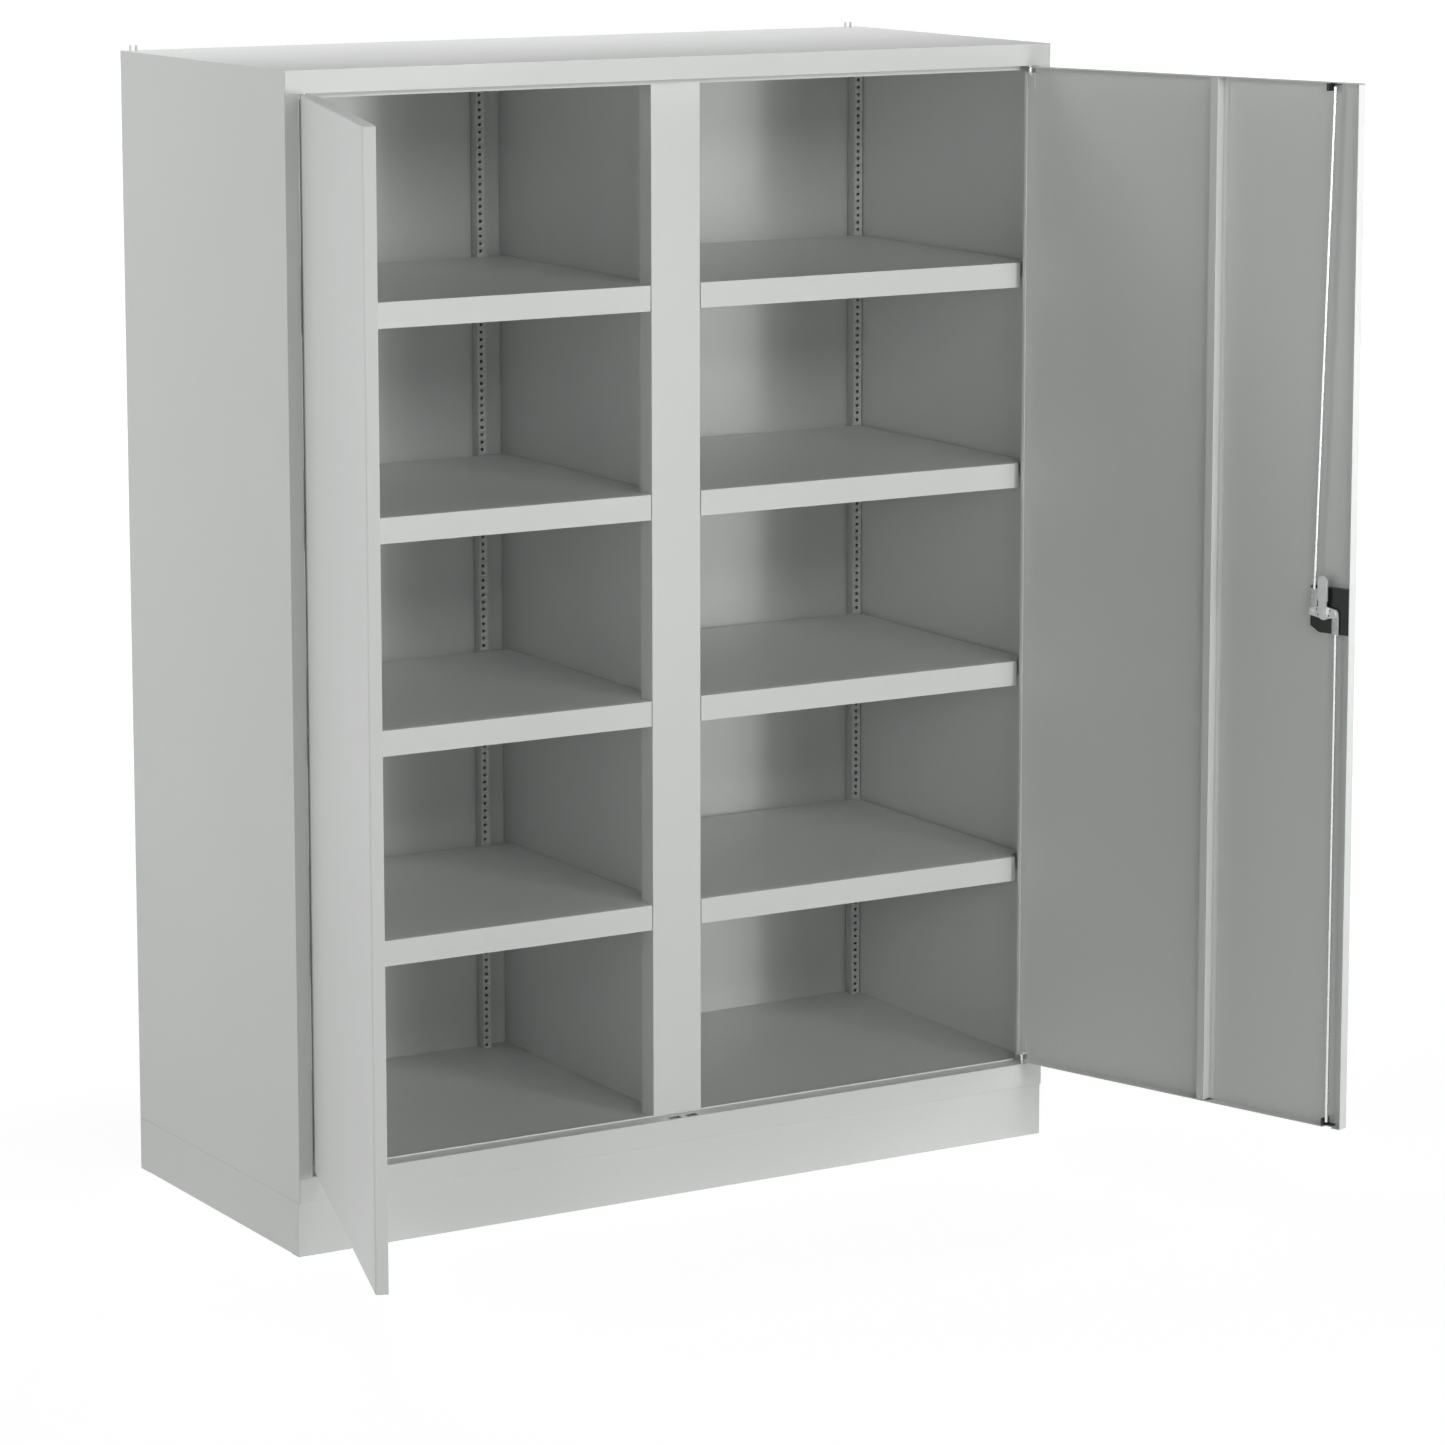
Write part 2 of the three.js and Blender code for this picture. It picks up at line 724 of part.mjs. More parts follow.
const rosetteRun = [-fit - rosetteThickness, -fit];
addMesh(lock, 'rosette', cut(
  stub(rosetteRadius, 0, 0, rosetteRun),
  stub(neckRadius + fit, 0, 0, [rosetteRun[0] - overrun, rosetteRun[1] + overrun]),
), black);

const gripBack = rosetteRun[0] - fit;
const gripFront = gripBack - gripThickness;
const neckEnd = -fit;
const spindleEnd = neckEnd - socketDepth;
const grip = new THREE.Shape().absellipse(0, 0, gripWidth / 2, gripLength / 2, 0, 2 * Math.PI);
const cylinderRun = [gripFront, gripFront + cylinderLength + fit];
addMesh(lock, 'handle', cut(
  slab(grip, [gripFront, gripBack]).add(stub(neckRadius, 0, 0, [gripBack - sheet, neckEnd])),
  stub(cylinderRadius + fit, 0, 0, [cylinderRun[0] - overrun, cylinderRun[1]]),
  squareBar(spindleSize + 2 * fit, [spindleEnd - fit, neckEnd + overrun]),
), black);

const keySlot = block(
  [-keySlotWidth / 2, keySlotWidth / 2],
  [gripFront - cylinderProud - overrun, gripFront - cylinderProud + keySlotDepth],
  [-keySlotLength / 2, keySlotLength / 2],
);
const cylinderBody = stub(cylinderRadius, 0, 0, [gripFront - cylinderProud, cylinderRun[1] - fit]);
addMesh(lock, 'lock_cylinder', cut(cylinderBody, keySlot), zinc);
addMesh(lock, 'spindle', squareBar(spindleSize, [spindleEnd, tongueBack + fit]), zinc);

// Cam with a round hub, two ears and a pin under each ear, and the tongue on top of it
const camRun = [camFront, camBack];
const ears = roundBar(camEarRadius, -crankRadius, crankRadius);
const earPins = [-crankRadius, crankRadius].map((z) => (
  stub(crankPinRadius, 0, z, [linkFront, camFront + camThickness / 2])
));
const cam = join(slab(ears, camRun), stub(camHubRadius, 0, 0, camRun), ...earPins);
const camMesh = addMesh(lock, 'cam_plate', cut(cam, squareHole(camRun)), zinc);
camMesh.rotation.y = Math.PI / 2;

const tongueRun = [tongueFront, tongueBack];
const tongueShape = roundBar(tongueWidth / 2, 0, tongueReach - tongueWidth / 2);
addMesh(lock, 'latch_tongue', cut(slab(tongueShape, tongueRun), squareHole(tongueRun)), zinc);

// Rods: a link plate on the cam's pin, and a round bar that runs to the end of the leaf
function lockingRod(linkLength, rodLength) {
  const up = Math.sign(rodLength);
  const linkRun = [linkFront, linkFront + linkThickness];
  const reach = up * (linkLength - linkWidth / 2);
  const link = slab(roundBar(linkWidth / 2, Math.min(0, reach), Math.max(0, reach)), linkRun);
  const bar = post(rodRadius, 0, rodDepth, [reach, rodLength]);
  const eye = stub(crankPinRadius + fit, 0, 0, [linkRun[0] - overrun, linkRun[1] + overrun]);
  return cut(join(link, bar), eye);
}

const upperRodRise = leafTop - upperRodSetback - lockHeight;
const upperRodLean = lockPlace + crankRadius - upperRodEndPlace;
const upperRodLength = Math.hypot(upperRodRise, upperRodLean);
const upperRod = addMesh(lock, 'upper_rod', lockingRod(upperLinkLength, upperRodLength), zinc);
upperRod.position.x = crankRadius;
upperRod.rotation.y = -Math.atan2(upperRodLean, upperRodRise);
const lowerRodRun = leafBottom + lowerRodSetback - lockHeight;
const lowerRod = addMesh(lock, 'lower_rod', lockingRod(lowerLinkLength, lowerRodRun), zinc);
lowerRod.position.x = -crankRadius;

// Guides for the ends of the rods, open towards the inside so that the rods lift out
function rodGuide(place, span) {
  const run = [front + skinInner, front + skinInner + guideDepth];
  const body = block([place - guideWidth / 2, place + guideWidth / 2], run, span);
  const through = [span[0] - overrun, span[1] + overrun];
  return cut(body, rodSlotAt(place, through, openDepth));
}
const topGuideSpan = [leafTop - sheet - fit - guideHeight, leafTop - sheet - fit];
const bottomGuideSpan = [leafBottom + sheet + fit, leafBottom + sheet + fit + guideHeight];
addMesh(rightLeaf, 'guide_top', rodGuide(topRodPlace, topGuideSpan), black);
addMesh(rightLeaf, 'guide_bottom', rodGuide(bottomRodPlace, bottomGuideSpan), black);

// Slide bolts of the left leaf, each in a housing on the inside of the skin
function slideBolt(tip, away) {
  const end = tip + away * boltLength;
  const knobAt = end - away * knobInset;
  return join(
    block(boltAcross, boltRun, [tip, end]),
    stub(knobRadius, boltX, knobAt, [boltRun[0], boltRun[1] + knobHeight]),
  );
}

function boltHousing(tip, away) {
  const start = tip + away * housingSetback;
  const span = [start, start + away * housingHeight];
  const across = [boltAcross[0] - housingWall, boltAcross[1] + housingWall];
  const run = [front + skinInner, boltRun[1] + fit + sheet];
  const hole = [
    [boltAcross[0] - fit, boltAcross[1] + fit],
    [boltRun[0] - fit, boltRun[1] + fit],
    [span[0] - away * overrun, span[1] + away * overrun],
  ];
  return cut(block(across, run, span), block(...hole));
}

const boltEnds = { top: [leafTop - boltSetback, -1], bottom: [leafBottom + boltSetback, 1] };
for (const [end, [tip, away]] of Object.entries(boltEnds)) {
  addMesh(leftLeaf, `bolt_${end}`, slideBolt(tip, away), zinc);
  addMesh(leftLeaf, `bolt_housing_${end}`, boltHousing(tip, away), coat);
}

export default cupboard;
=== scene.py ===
import json
import math

import bmesh
import bpy
from mathutils import Matrix, Vector

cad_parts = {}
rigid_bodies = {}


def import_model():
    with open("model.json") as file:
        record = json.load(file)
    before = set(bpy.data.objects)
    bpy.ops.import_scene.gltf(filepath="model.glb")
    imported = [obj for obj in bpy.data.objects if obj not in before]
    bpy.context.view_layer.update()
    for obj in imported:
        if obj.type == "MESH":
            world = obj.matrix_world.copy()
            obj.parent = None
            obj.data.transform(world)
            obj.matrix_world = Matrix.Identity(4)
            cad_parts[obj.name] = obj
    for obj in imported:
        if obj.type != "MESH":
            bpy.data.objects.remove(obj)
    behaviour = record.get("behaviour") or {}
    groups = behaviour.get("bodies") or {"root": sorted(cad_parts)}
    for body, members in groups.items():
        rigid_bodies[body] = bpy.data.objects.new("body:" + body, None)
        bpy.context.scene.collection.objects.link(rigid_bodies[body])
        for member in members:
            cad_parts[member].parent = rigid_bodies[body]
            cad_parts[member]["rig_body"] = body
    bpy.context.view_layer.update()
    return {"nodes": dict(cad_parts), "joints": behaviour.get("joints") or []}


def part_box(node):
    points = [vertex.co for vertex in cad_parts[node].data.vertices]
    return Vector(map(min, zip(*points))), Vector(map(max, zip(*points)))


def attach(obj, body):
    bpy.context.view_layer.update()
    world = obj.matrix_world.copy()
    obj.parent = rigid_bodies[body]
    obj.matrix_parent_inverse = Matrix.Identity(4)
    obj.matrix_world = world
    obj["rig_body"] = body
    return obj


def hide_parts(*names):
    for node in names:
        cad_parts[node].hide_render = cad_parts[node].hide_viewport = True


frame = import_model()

nodes = frame["nodes"]
joints = {joint["name"]: joint for joint in frame["joints"]}
sides = {"left": -1, "right": 1}
sheet = 0.00125  # thickness of the steel
fit = 0.0003  # play between two pieces
front = -0.32  # front plane of the body
samePoint = 1e-6
noiseMean = 0.5


# Shader maths: a wire is one output socket, and its operators add Math nodes
class Wire:
    def __init__(self, tree, socket):
        self.tree = tree
        self.socket = socket

    def maths(self, operation, first, second):
        made = self.tree.nodes.new("ShaderNodeMath")
        made.operation = operation
        for slot, value in enumerate((first, second)):
            if isinstance(value, Wire):
                self.tree.links.new(value.socket, made.inputs[slot])
            else:
                made.inputs[slot].default_value = value
        return Wire(self.tree, made.outputs[0])

    def __add__(self, other):
        return self.maths("ADD", self, other)

    def __radd__(self, other):
        return self.maths("ADD", other, self)

    def __sub__(self, other):
        return self.maths("SUBTRACT", self, other)

    def __rsub__(self, other):
        return self.maths("SUBTRACT", other, self)

    def __mul__(self, other):
        return self.maths("MULTIPLY", self, other)

    def __rmul__(self, other):
        return self.maths("MULTIPLY", other, self)

    def larger(self, other):
        return self.maths("MAXIMUM", self, other)


# A finish belongs to one material, or to the world, and adds its nodes
class Finish:
    def __init__(self, owner):
        owner.use_nodes = True
        self.owner = owner
        self.tree = owner.node_tree
        self.tree.nodes.clear()

    def node(self, kind, settings=None, sockets=None, out=0):
        made = self.tree.nodes.new(kind)
        for name, value in (settings or {}).items():
            setattr(made, name, value)
        for name, value in (sockets or {}).items():
            if isinstance(value, Wire):
                self.tree.links.new(value.socket, made.inputs[name])
            else:
                made.inputs[name].default_value = value
        return Wire(self.tree, made.outputs[out]) if made.outputs else None

    def place(self, stretch=(1, 1, 1)):
        coords = self.node("ShaderNodeTexCoord", out="Object")
        return self.node("ShaderNodeMapping", sockets={"Vector": coords, "Scale": stretch})

    def noise(self, scale, detail, stretch=(1, 1, 1)):
        return self.node("ShaderNodeTexNoise", sockets={
            "Vector": self.place(stretch), "Scale": scale, "Detail": detail,
        })

    # Sockets 6 and 7 and output 2 are the colours of a Mix node
    def blend(self, factor, first, second):
        return self.node("ShaderNodeMix", {"data_type": "RGBA"}, {
            0: factor, 6: first, 7: second,
        }, out=2)

    # 1 where the camera looks straight, in a mirror or through glass
    def directRays(self):
        kinds = ("Camera", "Glossy", "Transmission")
        camera, glossy, through = (
            self.node("ShaderNodeLightPath", out=f"Is {kind} Ray") for kind in kinds)
        return camera.larger(glossy).larger(through)

    def surface(self, look, height, sockets):
        normal = self.node("ShaderNodeBump", sockets={
            "Height": height, "Strength": look["bumpStrength"], "Distance": look["bumpHeight"],
        })
        shader = self.node("ShaderNodeBsdfPrincipled", sockets=dict(sockets, Normal=normal))
        self.node("ShaderNodeOutputMaterial", sockets={"Surface": shader})
        return self.owner


# Noise is given as scale and detail
coatLook = {
    "base": (0.74, 0.758, 0.742, 1), "shade": (0.7, 0.718, 0.703, 1),
    "dust": (0.773, 0.788, 0.77, 1), "dustShare": 0.18, "dustSpread": 0.55,
    "cloud": (2.6, 3.0), "speckle": (420.0, 2.0), "peel": (230.0, 1.5), "grain": (900.0, 1.0),
    "roughness": 0.42, "cloudRough": 0.12, "speckleRough": 0.1,
    "lacquer": 0.15, "lacquerRough": 0.3,
    "peelShare": 0.7, "bumpStrength": 0.12, "bumpHeight": 0.0004,
}


# Light grey powder coat: orange peel, fine speckle and faint broad clouds
def powderCoat(name, look):
    made = Finish(bpy.data.materials.new(name))
    cloud = made.noise(*look["cloud"])
    speckle = made.noise(*look["speckle"])
    peel = made.noise(*look["peel"])
    grain = made.noise(*look["grain"])
    broad = made.blend(cloud, look["base"], look["shade"])
    fleck = (speckle - noiseMean) * look["dustSpread"] + look["dustShare"]
    rough = look["roughness"] + (cloud - noiseMean) * look["cloudRough"]
    height = peel * look["peelShare"] + grain * (1 - look["peelShare"])
    return made.surface(look, height, {
        "Base Color": made.blend(fleck, broad, look["dust"]),
        "Roughness": rough + (speckle - noiseMean) * look["speckleRough"],
        "Coat Weight": look["lacquer"], "Coat Roughness": look["lacquerRough"],
    })


zincLook = {
    "base": (0.84, 0.845, 0.85, 1), "dull": (0.6, 0.61, 0.62, 1),
    "spangle": 140.0, "spangleShare": 0.3, "spangleRough": 0.08,
    "streak": (60.0, 3.0), "stretch": (60, 60, 1), "streakShare": 0.35, "streakRough": 0.2,
    "roughness": 0.3, "bumpStrength": 0.05, "bumpHeight": 0.0002,
}
rodZincLook = dict(
    zincLook, base=(0.8, 0.805, 0.81, 1), dull=(0.62, 0.63, 0.64, 1), roughness=0.24)
pressedZincLook = dict(zincLook, stretch=(8, 8, 8), roughness=0.34)


# Bright zinc plating with faint spangle and drawn streaks along the piece
def zincPlate(name, look):
    made = Finish(bpy.data.materials.new(name))
    spangle = made.node("ShaderNodeTexVoronoi", sockets={
        "Vector": made.place(), "Scale": look["spangle"],
    }, out="Color")
    grey = made.node("ShaderNodeRGBToBW", sockets={"Color": spangle})
    streak = made.noise(*look["streak"], look["stretch"])
    dulled = grey * look["spangleShare"] + streak * look["streakShare"]
    rough = look["roughness"] + grey * look["spangleRough"]
    return made.surface(look, streak, {
        "Base Color": made.blend(dulled, look["base"], look["dull"]), "Metallic": 1.0,
        "Roughness": rough + (streak - noiseMean) * look["streakRough"],
    })


plasticLook = {
    "base": (0.014, 0.0145, 0.016, 1), "worn": (0.03, 0.031, 0.033, 1), "wornShare": 0.6,
    "grain": (1400.0, 2.0), "rub": (30.0, 3.0), "roughness": 0.46, "rubRough": 0.16,
    "bumpStrength": 0.25, "bumpHeight": 0.00015,
}


# Black moulded plastic with a fine spark eroded grain
def blackPlastic(name, look):
    made = Finish(bpy.data.materials.new(name))
    grain = made.noise(*look["grain"])
    rub = made.noise(*look["rub"])
    return made.surface(look, grain, {
        "Base Color": made.blend(rub * look["wornShare"], look["base"], look["worn"]),
        "Roughness": look["roughness"] + (rub - noiseMean) * look["rubRough"],
    })


coat = powderCoat("lightGreyPowderCoat", coatLook)
coatFlat = powderCoat("lightGreyPowderCoatWide", dict(coatLook, bumpStrength=0.08))
zinc = zincPlate("brightZinc", rodZincLook)
pressedZinc = zincPlate("pressedZinc", pressedZincLook)
plastic = blackPlastic("blackPlastic", plasticLook)
print("materials ready")

shading = {"sharpAngle": 35.0, "flatWeight": 90}


# The name of the piece that stands for a node
def pieceName(node):
    first, *rest = node.split("_")
    return first + "".join(word.capitalize() for word in rest) + "Finished"


# Turns a bmesh into the piece that stands for a node and rides on its body
def makePiece(node, mesh, material, weighted=True):
    name = pieceName(node)
    body = nodes[node]["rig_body"]
    data = bpy.data.meshes.new(name)
    mesh.to_mesh(data)
    mesh.free()
    data.materials.append(material)
    data.shade_smooth()
    data.set_sharp_from_angle(angle=math.radians(shading["sharpAngle"]))
    piece = bpy.data.objects.new(name, data)
    bpy.context.scene.collection.objects.link(piece)
    if weighted:
        smoother = piece.modifiers.new("flatFaces", "WEIGHTED_NORMAL")
        smoother.keep_sharp = True
        smoother.weight = shading["flatWeight"]
    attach(piece, body)
    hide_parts(node)
    return piece


def bevel(mesh, edges, radius, segments=2):
    bmesh.ops.bevel(
        mesh, geom=edges, offset=radius, offset_type="OFFSET", segments=segments, profile=0.5,
        affect="EDGES", clamp_overlap=True, material=-1,
    )


def newVerts(made):
    return [item for item in made if isinstance(item, bmesh.types.BMVert)]


# Sheet pieces keep the node's own shape, with rounded folds; angles in degrees
foldPlan = {"leastTurn": 50.0, "widestRim": 0.003, "segments": 3, "merge": 2e-6, "flat": 0.6}
foldRadius = {
    "floor_panel": 0.0022, "roof_panel": 0.0024,
    "side_panel_left": 0.0022, "side_panel_right": 0.0022,
    "back_panel_left": 0.001, "back_panel_right": 0.001, "centre_post": 0.0024,
    "partition_left": 0.001, "partition_right": 0.001, "plinth_front": 0.002,
    "plinth_rear": 0.002, "plinth_left": 0.002, "plinth_right": 0.002, "plinth_centre": 0.0015,
    "door_left": 0.0026, "door_right": 0.0026, "stiffener_left": 0.0016, "stiffener_right": 0.0016,
    "hinge_bracket_left_bottom": 0.0004, "hinge_bracket_left_top": 0.0004,
    "hinge_bracket_right_bottom": 0.0004, "hinge_bracket_right_top": 0.0004,
    "bolt_housing_top": 0.0015, "bolt_housing_bottom": 0.0015,
}
shelfPlan = {"levels": (1, 2, 3, 4), "foldRadius": 0.0022}


def faceWidth(face):
    longest = max(edge.calc_length() for edge in face.edges)
    return face.calc_area() / longest


# Outer edges where two faces wider than the sheet's own rim meet
def foldEdges(mesh, widest):
    found = []
    for edge in mesh.edges:
        if len(edge.link_faces) != 2:
            continue
        if edge.calc_face_angle_signed() < math.radians(foldPlan["leastTurn"]):
            continue
        if min(faceWidth(face) for face in edge.link_faces) > widest:
            found.append(edge)
    return found


# A merged copy of a node's mesh, its flat faces joined again
def nodeCopy(node):
    mesh = bmesh.new()
    mesh.from_mesh(nodes[node].data)
    bmesh.ops.remove_doubles(mesh, verts=mesh.verts, dist=foldPlan["merge"])
    bmesh.ops.dissolve_limit(
        mesh, angle_limit=math.radians(foldPlan["flat"]), verts=mesh.verts, edges=mesh.edges,
        use_dissolve_boundaries=False,
    )
    return mesh


def foldedPiece(node, radius, material):
    mesh = nodeCopy(node)
    bevel(mesh, foldEdges(mesh, foldPlan["widestRim"]), radius, foldPlan["segments"])
    makePiece(node, mesh, material)


for node, radius in foldRadius.items():
    foldedPiece(node, radius, coatFlat if "panel" in node or "door" in node else coat)
for side in sides:
    for level in shelfPlan["levels"]:
        foldedPiece(f"shelf_{side}_{level}", shelfPlan["foldRadius"], coat)
print("sheet pieces ready")

# Shelf uprights with their full rows of holes
uprightPlan = {
    "pitch": 0.0133333, "holeWidth": 0.0055, "holeHeight": 0.005, "innerHole": 0.065,
    "outerInset": 0.008, "shelfHole": 0.5, "pitchesBelow": 27, "merge": 1e-5,
}


# One hole in its piece of the web is repeated upwards, then the two walls are pulled out
def perforatedUpright(node):
    low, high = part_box(node)
    side = 1 if low.x > 0 else -1
    ahead = "front" in node
    web = high.y if ahead else low.y
    wall = low.y if ahead else high.y
    outerHole = abs(low.x if side > 0 else high.x) + uprightPlan["outerInset"]
    hole = uprightPlan["innerHole"] if "inner" in node else outerHole
    pitch = uprightPlan["pitch"]
    near = uprightPlan["merge"]
    start = uprightPlan["shelfHole"] - (uprightPlan["pitchesBelow"] + 0.5) * pitch
    halfWide = uprightPlan["holeWidth"] / 2
    halfTall = uprightPlan["holeHeight"] / 2
    middleX, middleZ = side * hole, start + pitch / 2
    end = start + pitch
    outer = [(low.x, start), (high.x, start), (high.x, end), (low.x, end)]
    inner = [(middleX + a * halfWide, middleZ + b * halfTall)
             for a, b in ((-1, -1), (1, -1), (1, 1), (-1, 1))]
    mesh = bmesh.new()
    for outline in (outer, inner):
        loop = [mesh.verts.new((x, web, z)) for x, z in outline]
        for place in range(4):
            mesh.edges.new((loop[place], loop[(place + 1) % 4]))
    bmesh.ops.bridge_loops(mesh, edges=mesh.edges)
    cell = mesh.verts[:] + mesh.edges[:] + mesh.faces[:]
    count = int((high.z - start) / pitch)
    for step in range(1, count):
        copied = bmesh.ops.duplicate(mesh, geom=cell)["geom"]
        bmesh.ops.translate(mesh, verts=newVerts(copied), vec=(0, 0, step * pitch))
    bmesh.ops.remove_doubles(mesh, verts=mesh.verts, dist=near)
    for vert in mesh.verts:
        if vert.co.z > start + count * pitch - near:
            vert.co.z = high.z
        if vert.co.z < start + near:
            vert.co.z = low.z
    rims = [edge for edge in mesh.edges if edge.is_boundary and all(
        min(abs(vert.co.x - low.x), abs(vert.co.x - high.x)) < near for vert in edge.verts)]
    walls = bmesh.ops.extrude_edge_only(mesh, edges=rims)["geom"]
    bmesh.ops.translate(mesh, verts=newVerts(walls), vec=(0, wall - web, 0))
    bmesh.ops.recalc_face_normals(mesh, faces=mesh.faces)
    facing = next(face for face in mesh.faces if abs(face.normal.y) > 0.9)
    if (facing.normal.y > 0) != ahead:
        bmesh.ops.reverse_faces(mesh, faces=mesh.faces)
    piece = makePiece(node, mesh, coat, weighted=False)
    thicken = piece.modifiers.new("sheet", "SOLIDIFY")
    thicken.thickness = sheet
    thicken.offset = -1
    thicken.use_even_offset = True


for node in nodes:
    if node.startswith("upright_"):
        perforatedUpright(node)
print("uprights ready")


# Where a closed leaf turns to at rest
def leafMatrix(side):
    joint = joints[f"{side}_leaf_hinge"]
    pivot = Matrix.Translation(Vector(joint["pos_m"]))
    turn = Matrix.Rotation(-math.radians(joint["range_deg"][1]), 4, Vector(joint["axis"]))
    return pivot @ turn @ pivot.inverted()


leaves = {side: leafMatrix(side) for side in sides}
sharpTurn = 1.0  # radians, between two faces that get a rounded rim


def turned(mesh, matrix):
    bmesh.ops.transform(mesh, matrix=matrix, verts=mesh.verts)
    return mesh


def sharpEdges(mesh):
    return [edge for edge in mesh.edges if edge.calc_face_angle(0) > sharpTurn]


# A round bar between two ends along y or z, with rounded rims
def roundBar(mesh, radius, axis, start, end, centre, rim, facets=40):
    middle = (start + end) / 2
    if axis == "y":
        spot = Matrix.Translation((centre[0], middle, centre[1]))
        spot = spot @ Matrix.Rotation(-math.pi / 2, 4, "X")
    else:
        spot = Matrix.Translation((*centre, middle))
    fresh = set(bmesh.ops.create_cone(
        mesh, cap_ends=True, segments=facets, radius1=radius, radius2=radius,
        depth=abs(end - start), matrix=spot,
    )["verts"])
    bevel(mesh, [edge for edge in sharpEdges(mesh) if set(edge.verts) <= fresh], rim)


# A block between two corners, with rounded edges unless the rim is 0
def block(mesh, low, high, rim):
    size = Vector(high) - Vector(low)
    centre = (Vector(high) + Vector(low)) / 2
    fresh = set(bmesh.ops.create_cube(
        mesh, size=1, matrix=Matrix.Translation(centre) @ Matrix.Diagonal((*size, 1)),
    )["verts"])
    if rim:
        bevel(mesh, [edge for edge in mesh.edges if set(edge.verts) <= fresh], rim)


# Points of an arc between two angles in degrees
def arc(centre, radius, start, end, steps):
    turns = [math.radians(start + (end - start) * step / steps) for step in range(steps + 1)]
    return [(centre[0] + radius * math.cos(a), centre[1] + radius * math.sin(a)) for a in turns]


# Points of a closed ellipse
def ring(centre, halfWidth, halfHeight, steps=14):
    turns = [2 * math.pi * step / steps for step in range(steps)]
    return [(centre[0] + halfWidth * math.cos(a), centre[1] + halfHeight * math.sin(a))
            for a in turns]


# An outline of x and z with its holes, pulled along y, its rims rounded unless rim is 0
def extrudeOutline(mesh, outline, start, end, rim, holes=()):
    edges = []
    for loop in (outline, *holes):
        verts = [mesh.verts.new((x, start, z)) for x, z in loop]
        edges += [mesh.edges.new((verts[i - 1], verts[i])) for i in range(len(verts))]
    filled = bmesh.ops.triangle_fill(
        mesh, use_beauty=True, use_dissolve=False, edges=edges)["geom"]
    faces = [item for item in filled if isinstance(item, bmesh.types.BMFace)]
    far = newVerts(bmesh.ops.extrude_face_region(mesh, geom=faces)["geom"])
    bmesh.ops.translate(mesh, verts=far, vec=(0, end - start, 0))
    linked = set(faces) | {face for vert in far for face in vert.link_faces}
    bmesh.ops.recalc_face_normals(mesh, faces=[face for face in mesh.faces if face in linked])
    if rim:
        bevel(mesh, [edge for edge in sharpEdges(mesh) if linked.issuperset(edge.link_faces)
                     and abs(edge.verts[0].co.y - edge.verts[1].co.y) < samePoint], rim)


# Lock and rods: x and z place the spindle on the closed leaf, and the rest is drawn from there,
# with depths from the leaf's face
lockPlan = {
    "x": 0.0555, "z": 1.044, "crank": 0.023, "earRadius": 0.0075, "earSteps": 12,
    "hubRadius": 0.013, "hubArc": (50, 130), "hubSteps": 8, "thickness": 0.0025,
    "camRim": 0.0004, "holeRadius": 0.0016,
    "holes": [(0.0139, 0.0042), (0.0112, -0.0047), (-0.0139, 0.0042), (-0.0112, -0.0047)],
    "pinRadius": 0.0032, "pinHead": 0.0009, "pinRim": 0.0005,
    "spindle": 0.008, "spindleOut": 0.007, "spindleEnd": 0.0004, "spindleRim": 0.0003,
    "tongueWidth": 0.0205, "tongueReach": 0.063, "tongueThickness": 0.003,
    "tongueCorner": 0.0065, "tongueRim": 0.0006, "neckWidth": 0.0168, "neckLength": 0.0205,
    "neckSteps": 14,
    "caseDepth": 0.0115, "leafDepth": 0.0208,
}
rodPlan = {
    "linkWidth": 0.014, "linkThickness": 0.003, "linkCorner": 0.0015, "linkRim": 0.0005,
    "linkSteps": 14, "boreSteps": 28, "upperLink": 0.0395, "lowerLink": 0.038,
    "radius": 0.003, "rim": 0.0006, "facets": 32,
    "seat": 0.002, "upperRise": 0.895, "upperLean": 0.026, "lowerDrop": 0.892,
}
skinInner = sheet + fit
rodDepth = skinInner + lockPlan["caseDepth"] + fit + rodPlan["radius"]
linkFront = rodDepth - rodPlan["linkThickness"] / 2
linkBack = linkFront + rodPlan["linkThickness"]
camFront = linkBack + fit
camBack = camFront + lockPlan["thickness"]
tongueFront = max(lockPlan["leafDepth"], camBack) + fit
tongueBack = tongueFront + lockPlan["tongueThickness"]
lockSpot = leaves["right"] @ Matrix.Translation((lockPlan["x"], front, lockPlan["z"]))


# A flat link in the plane of the leaf: round at its pin, square with cut corners at its rod
def linkPlate(mesh, up, reach):
    half, corner = rodPlan["linkWidth"] / 2, rodPlan["linkCorner"]
    bore = lockPlan["pinRadius"] + fit
    outline = arc((0, 0), half, 0, -180 * up, rodPlan["linkSteps"])
    outline += [(-half, reach - up * corner), (-half + corner, reach), (half - corner, reach),
                (half, reach - up * corner)]
    extrudeOutline(mesh, outline, linkFront, linkBack, rodPlan["linkRim"],
                   [ring((0, 0), bore, bore, rodPlan["boreSteps"])])


# A rod with its link plate, drawn from the pin that it turns on
def rodPiece(node, linkLength, rodLength, spot):
    mesh = bmesh.new()
    up = 1 if rodLength > 0 else -1
    reach = up * linkLength
    linkPlate(mesh, up, reach)
    low, high = sorted((reach - up * rodPlan["seat"], rodLength))
    roundBar(mesh, rodPlan["radius"], "z", low, high, (0, rodDepth), rodPlan["rim"],
             rodPlan["facets"])
    makePiece(node, turned(mesh, lockSpot @ spot), zinc)


